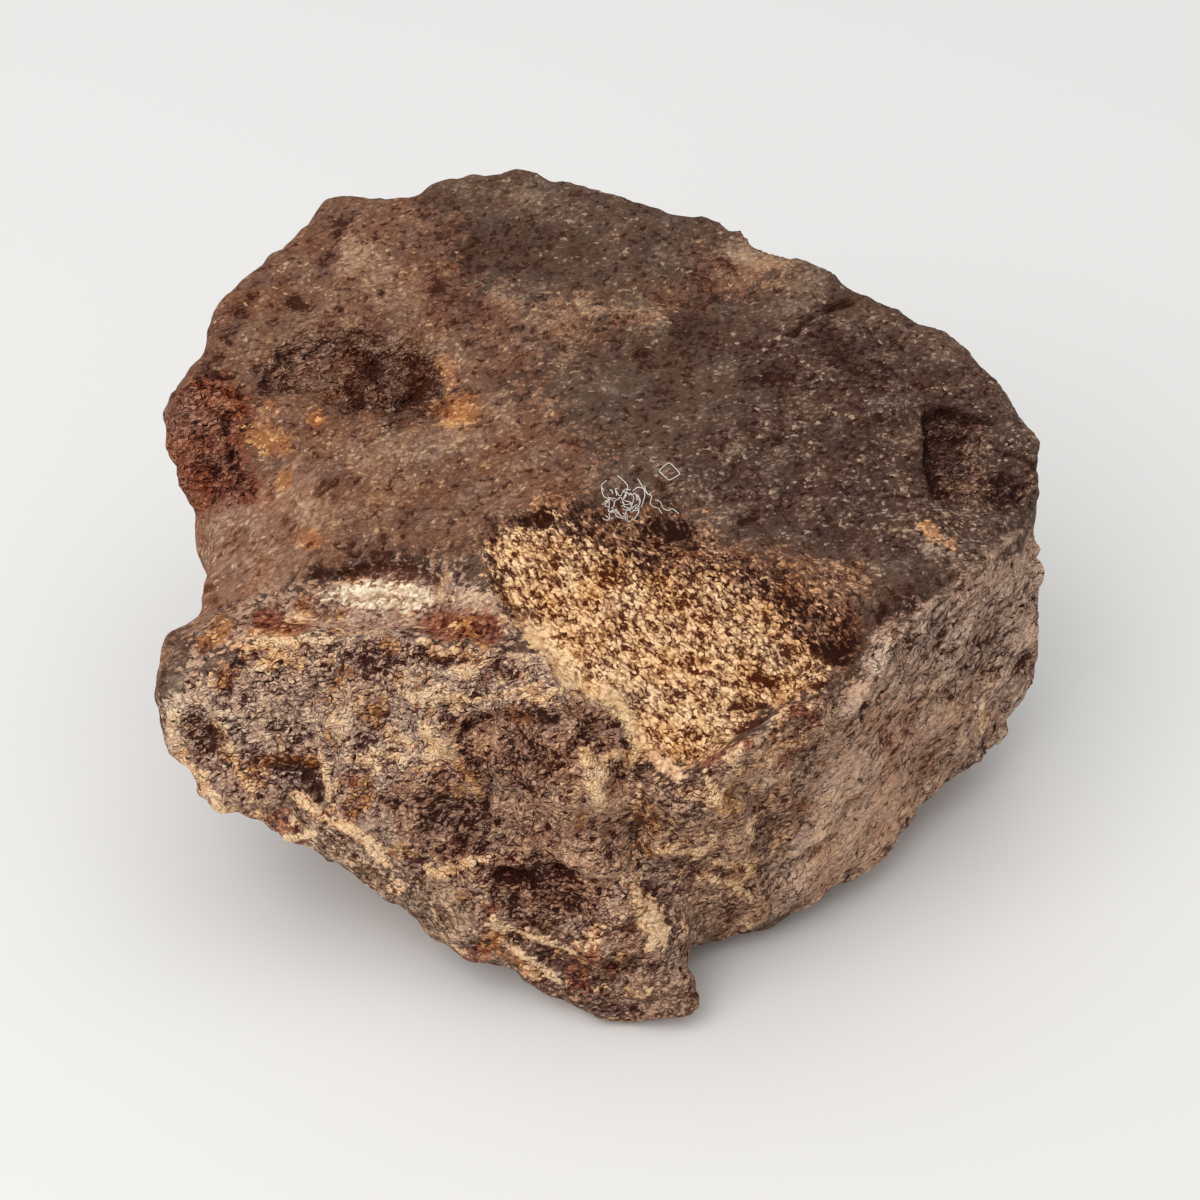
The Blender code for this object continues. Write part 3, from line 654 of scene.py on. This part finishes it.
# Chips of stone: each has a random colour, of which red chooses the pale chips, green the dark
# hollows and blue how light the others are.
chips = None
for name, (way, stretch, width) in GRAINS.items():
    along = add(tree, "ShaderNodeVectorMath", {0: bent, 1: Vector(way).normalized()},
                operation="PROJECT").outputs[0]
    squeezed = add(tree, "ShaderNodeVectorMath", {0: along, 1: [1 / stretch - 1] * 3, 2: bent},
                   operation="MULTIPLY_ADD").outputs[0]
    cells = add(tree, "ShaderNodeTexVoronoi", {"Vector": squeezed, "Scale": 1 / (width * MM)})
    colour, edge = cells.outputs["Color"], cells.outputs["Distance"]
    if chips is None:
        chips, edges = colour, edge
        continue
    chips = add(tree, "ShaderNodeMix", {0: inputs[name], 6: chips, 7: colour},
                data_type="RGBA").outputs[2]
    edges = add(tree, "ShaderNodeMix", {0: inputs[name], 2: edges, 3: edge}).outputs[0]
inputs["edges"] = edges
inputs.update(add(tree, "ShaderNodeSeparateColor", {"Color": chips}).outputs.items())
# Sums of the fields, the noises and the chips: what each starts from, the share that each part
# adds, and whether the sum is kept from 0 to 1. A chip is darker towards its edge, in the gap,
# which is painted shade between the chips.
SUMS = {
    "flecks": (-11.2, {"pale": 8.0, "clusters": 5.0, "ragged": 5.0, "edges": -5.0, "Red": 8.0}, True),
    "specks": (-2.5, {"dark": 8.0, "clusters": -5.0, "ragged": -5.0, "Green": 8.0}, True),
    "gaps": (-1.6, {"edges": 4.0}, True),
    "glints": (-78.7, {"Red": 80.0}, True),
    "rough_height": (0.0, {"edges": -0.6, "gaps": -0.4, "flecks": 0.2, "specks": -0.4,
                           "ragged": 1.2}, False),
    "chip_tone": (-0.32, {"Blue": 1.0, "gaps": -0.55}, False),
    "ground_tone": (-0.56, {"lightness": 1.0, "clusters": 0.5, "mottling": 0.5, "ragged": 0.1,
                            "flecks": 0.5, "specks": -0.42, "glints": 0.5}, False),
    "zone_edges": (-4.0, {"Blue": 3.0, "ragged": 2.0}, False),
    "redder": (0.5035, {"stains": -0.012}, False),
    "stronger": (0.76, {"stains": 0.48}, False),
}
for name, (start, parts, clamped) in SUMS.items():
    total = start
    for part, share in parts.items():
        total = add(tree, "ShaderNodeMath", {0: inputs[part], 1: share, 2: total},
                    operation="MULTIPLY_ADD").outputs[0]
    total.node.use_clamp = clamped
    inputs[name] = total

# The height of the chips and of the clusters of chips, in millimetres.
CHIP_HEIGHT = 0.14 * MM
CLUSTER_HEIGHT = 0.9 * MM
fine_bump = add(tree, "ShaderNodeBump", {"Height": inputs["rough_height"],
                                         "Strength": inputs["rough"], "Distance": CHIP_HEIGHT})
bump = add(tree, "ShaderNodeBump", {"Height": inputs["clusters"], "Strength": inputs["rough"],
                                    "Distance": CLUSTER_HEIGHT, "Normal": fine_bump.outputs[0]})
# Painted light lies on the chips as it does on the lumps: the side of each chip that faces the
# upper left is this much lighter and the other side darker.
PAINTED_LIGHT_ON_CHIPS = 0.35
smooth = add(tree, "ShaderNodeNewGeometry").outputs["Normal"]
turned = add(tree, "ShaderNodeVectorMath", {0: bump.outputs[0], 1: smooth}, operation="SUBTRACT")
turned = add(tree, "ShaderNodeVectorTransform", {"Vector": turned.outputs[0]},
             vector_type="VECTOR", convert_from="WORLD", convert_to="OBJECT")
painted_light = add(tree, "ShaderNodeVectorMath", {0: turned.outputs[0], 1: tuple(PAINTED_LIGHT_WAY)},
           operation="DOT_PRODUCT").outputs["Value"]
tone = add(tree, "ShaderNodeMath", {0: inputs["chip_tone"], 1: inputs["contrast"],
                                    2: inputs["ground_tone"]}, operation="MULTIPLY_ADD")
tone = add(tree, "ShaderNodeMath", {0: painted_light, 1: PAINTED_LIGHT_ON_CHIPS, 2: tone.outputs[0]},
           operation="MULTIPLY_ADD").outputs[0]
# Each finish runs from the hollows to the pale mineral by tone. A zone ends in single chips.
colour = None
for name, codes in FINISHES.items():
    run = add(tree, "ShaderNodeValToRGB", {"Fac": tone})
    stops = run.color_ramp.elements
    stops.new(0.5)
    for stop, code in zip(stops, codes):
        stop.color = linear(code)
    if colour is None:
        colour = run.outputs["Color"]
        continue
    weight = add(tree, "ShaderNodeAttribute", attribute_name=name).outputs["Fac"]
    ragged_share = add(tree, "ShaderNodeMath", {0: weight, 1: 4.0, 2: inputs["zone_edges"]},
                       operation="MULTIPLY_ADD").outputs[0]
    limit = add(tree, "ShaderNodeMath", {0: weight, 1: 6.0}, operation="MULTIPLY").outputs[0]
    share = add(tree, "ShaderNodeMath", {0: ragged_share, 1: limit}, operation="MINIMUM",
                use_clamp=True).outputs[0]
    colour = add(tree, "ShaderNodeMix", {0: share, 6: colour, 7: run.outputs["Color"]},
                 data_type="RGBA").outputs[2]
# Iron has stained the stone unevenly, so some areas are redder and stronger in colour.
stained = add(tree, "ShaderNodeHueSaturation", {"Color": colour, "Hue": inputs["redder"],
                                                "Saturation": inputs["stronger"]})
tree.links.new(stained.outputs[0], shader.inputs["Base Color"])
shader.inputs["Roughness"].default_value = 0.82
shader.inputs["Specular IOR Level"].default_value = 0.12
tree.links.new(bump.outputs[0], shader.inputs["Normal"])
stone.data.materials.clear()
stone.data.materials.append(material)
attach(stone, "root")
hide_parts("meteorite_stone")

# The lint
# A tuft of white fibres caught on the dark crust just above the scar, with loose fibres beside
# it, one of them bent into a square loop. It is cotton or paper lint that has settled there.
FIBRE_THICKNESS = 0.05 * MM
FIBRE_STEP = 0.06 * MM
CURL_LENGTH = 0.6 * MM
TUFT_LIFT = 0.15 * MM
# The tuft: its middle is a spot on the sheet, and its reach runs across, back and up.
TUFT = {
    "Fibres": 30,
    "Middle": (1.15, 5.5),
    "Reach": (0.75 * MM, 0.95 * MM, 0.3 * MM),
    "Bend": 0.32 * MM,
    "Curl": 0.8 * MM,
    "Seed": 4,
}
# The spots on the sheet that each loose fibre runs through.
LOOSE_FIBRES = [
    [(2.6, 6.6), (2.7, 6.2), (3.0, 6.0), (2.9, 5.6), (3.1, 5.4), (3.4, 5.3), (3.6, 5.0)],
    [(1.9, 6.3), (2.2, 6.5), (2.6, 6.4), (2.8, 6.1), (3.0, 6.2)],
    [(3.2, 5.8), (3.5, 5.7), (3.7, 5.3), (4.0, 5.2), (4.2, 5.3), (4.6, 5.0)],
    [(0.4, 6.9), (0.1, 6.6), (0.2, 6.0), (0.5, 5.8), (0.5, 5.2)],
    [(3.45, 7.42), (3.55, 7.58), (3.9, 7.88), (4.1, 7.86), (4.55, 7.4), (4.58, 7.24),
     (4.1, 6.95), (3.95, 6.97), (3.45, 7.42)],
    [(2.2, 7.0), (2.6, 6.2), (2.4, 5.4)], [(1.0, 7.2), (1.6, 6.6), (1.4, 6.0)],
]


def on_skin(across, up, lift):
    """The place on the skin behind a spot of the sheet, raised off it by the lift."""
    eye = SHEET_MIDDLE + EYE_DISTANCE * SHEET_OUT
    spot = SHEET_MIDDLE + [across, 0, 0] + up * SHEET_UP
    found, normal = stone.ray_cast(Vector(eye) * MM, Vector(spot - eye).normalized())[1:3]
    return found + normal * lift


# Cotton lint: matt white threads with no sheen.
lint_material = bpy.data.materials.new("white_cotton_lint")
lint_material.use_nodes = True
lint_shader = lint_material.node_tree.nodes["Principled BSDF"]
lint_shader.inputs["Base Color"].default_value = linear("e4e0d8")
lint_shader.inputs["Roughness"].default_value = 0.9
lint_shader.inputs["Specular IOR Level"].default_value = 0.1

bpy.context.view_layer.update()
TUFT["Middle"] = on_skin(*TUFT["Middle"], TUFT_LIFT)
corners, stretches = [], []
for fibre in LOOSE_FIBRES:
    stretches += [(len(corners) + i, len(corners) + i + 1) for i in range(len(fibre) - 1)]
    corners += [on_skin(across, up, FIBRE_THICKNESS) for across, up in fibre]
lint_mesh = bpy.data.meshes.new("lint")
lint_mesh.from_pydata(corners, stretches, [])
lint = bpy.data.objects.new("lint", lint_mesh)
bpy.context.scene.collection.objects.link(lint)

tufts = bpy.data.node_groups.new("lint_tuft", "GeometryNodeTree")
tufts.interface.new_socket("Geometry", in_out="INPUT", socket_type="NodeSocketGeometry")
for name, value in TUFT.items():
    kind = ("NodeSocketInt" if isinstance(value, int) else
            "NodeSocketFloat" if isinstance(value, float) else "NodeSocketVector")
    tufts.interface.new_socket(name, in_out="INPUT", socket_type=kind)
tufts.interface.new_socket("Geometry", in_out="OUTPUT", socket_type="NodeSocketGeometry")
given = add(tufts, "NodeGroupInput").outputs
scattered = add(tufts, "FunctionNodeRandomValue", {0: (-1, -1, -1), 1: (1, 1, 1),
                                                   "Seed": given["Seed"]},
                data_type="FLOAT_VECTOR").outputs[0]
place = add(tufts, "ShaderNodeVectorMath", {0: scattered, 1: given["Reach"],
                                            2: given["Middle"]}, operation="MULTIPLY_ADD")
points = add(tufts, "GeometryNodePoints", {"Count": given["Fibres"], "Position": place.outputs[0]})
arc = add(tufts, "GeometryNodeCurveArc", {"Resolution": 24, "Radius": given["Bend"],
                                          "Sweep Angle": 4.4}, mode="RADIUS")
# Each fibre of the tuft is an arc, turned at random and from half to one and a half times as long.
turn = add(tufts, "FunctionNodeRandomValue", {1: (6.28, 6.28, 6.28), "Seed": 11},
           data_type="FLOAT_VECTOR")
size = add(tufts, "FunctionNodeRandomValue", {2: 0.5, 3: 1.5, "Seed": 12}, data_type="FLOAT")
arcs = add(tufts, "GeometryNodeInstanceOnPoints", {
    "Points": points.outputs[0], "Instance": arc.outputs[0], "Rotation": turn.outputs[0],
    "Scale": size.outputs[1]})
arc_curves = add(tufts, "GeometryNodeRealizeInstances", {"Geometry": arcs.outputs[0]})
loose = add(tufts, "GeometryNodeMeshToCurve", {"Mesh": given["Geometry"]})
rounded = add(tufts, "GeometryNodeCurveSplineType", {"Curve": loose.outputs[0]},
              spline_type="CATMULL_ROM")
even_steps = add(tufts, "GeometryNodeResampleCurve", {"Curve": arc_curves.outputs[0],
                                                      "Length": FIBRE_STEP}, mode="LENGTH")
curls = add(tufts, "ShaderNodeTexNoise", {"Scale": 1 / CURL_LENGTH, "Detail": 2.0})
centred = add(tufts, "ShaderNodeVectorMath", {0: curls.outputs["Color"], 1: (0.5, 0.5, 0.5)},
              operation="SUBTRACT")
moved = add(tufts, "ShaderNodeVectorMath", {0: centred.outputs[0], "Scale": given["Curl"]},
            operation="SCALE")
curled = add(tufts, "GeometryNodeSetPosition", {"Geometry": even_steps.outputs[0],
                                                "Offset": moved.outputs[0]})
both = add(tufts, "GeometryNodeJoinGeometry", {"Geometry": curled.outputs[0]})
tufts.links.new(rounded.outputs[0], both.inputs["Geometry"])
profile = add(tufts, "GeometryNodeCurvePrimitiveCircle", {"Resolution": 5,
                                                          "Radius": FIBRE_THICKNESS / 2})
tubes = add(tufts, "GeometryNodeCurveToMesh", {"Curve": both.outputs[0],
                                               "Profile Curve": profile.outputs[0],
                                               "Fill Caps": True})
whole = add(tufts, "GeometryNodeRealizeInstances", {"Geometry": tubes.outputs[0]})
covered = add(tufts, "GeometryNodeSetMaterial", {"Geometry": whole.outputs[0],
                                                 "Material": lint_material})
add(tufts, "NodeGroupOutput", {"Geometry": covered.outputs[0]})

modifier = lint.modifiers.new("Lint tuft", "NODES")
modifier.node_group = tufts
for item in tufts.interface.items_tree:
    if item.name in TUFT:
        modifier[item.identifier] = TUFT[item.name]
lint.data = with_modifiers(lint)
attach(lint, "root")

# The floor, the light and the camera
# A plain pale surface of matt white card, which shows soft shadows and no shine, under soft
# light from the front left and from above, seen from 40 degrees above the front.
FLOOR_SIZE = 3000 * MM
floor_mesh = bpy.data.meshes.new("floor")
half = FLOOR_SIZE / 2
floor_mesh.from_pydata([(-half, -half, 0), (half, -half, 0), (half, half, 0), (-half, half, 0)],
                       [], [(0, 1, 2, 3)])
floor = bpy.data.objects.new("floor", floor_mesh)
bpy.context.scene.collection.objects.link(floor)
card = bpy.data.materials.new("matt_white_card")
card.use_nodes = True
card_shader = card.node_tree.nodes["Principled BSDF"]
card_shader.inputs["Base Color"].default_value = linear("ebeae8")
card_shader.inputs["Roughness"].default_value = 0.6
floor.data.materials.append(card)

world = bpy.data.worlds.new("soft_room")
bpy.context.scene.world = world
world.use_nodes = True
background = world.node_tree.nodes["Background"]
background.inputs["Color"].default_value = linear("ffffff")
background.inputs["Strength"].default_value = 0.52


def aim(obj, place, target):
    """Puts a light or camera at a place and points it at a target."""
    obj.location = place
    obj.rotation_mode = "QUATERNION"
    obj.rotation_quaternion = (Vector(target) - Vector(place)).to_track_quat("-Z", "Y")
    bpy.context.scene.collection.objects.link(obj)


for name, size, energy, place in (("window_light", 400 * MM, 1.1, (-0.22, -0.22, 0.36)),
                                  ("ceiling_light", 600 * MM, 0.9, (0.0, 0.05, 0.50))):
    light = bpy.data.lights.new(name, "AREA")
    light.size = size
    light.energy = energy
    aim(bpy.data.objects.new(name, light), place, (0, 0, 0.01))

lens = bpy.data.cameras.new("camera")
lens.lens = 75
lens.sensor_width = 36
lens.clip_start = 5 * MM
camera = bpy.data.objects.new("camera", lens)
sheet_middle = Vector(SHEET_MIDDLE) * MM
aim(camera, sheet_middle + Vector(SHEET_OUT) * EYE_DISTANCE * MM, sheet_middle)
bpy.context.scene.camera = camera
bpy.context.scene.view_settings.view_transform = "Standard"
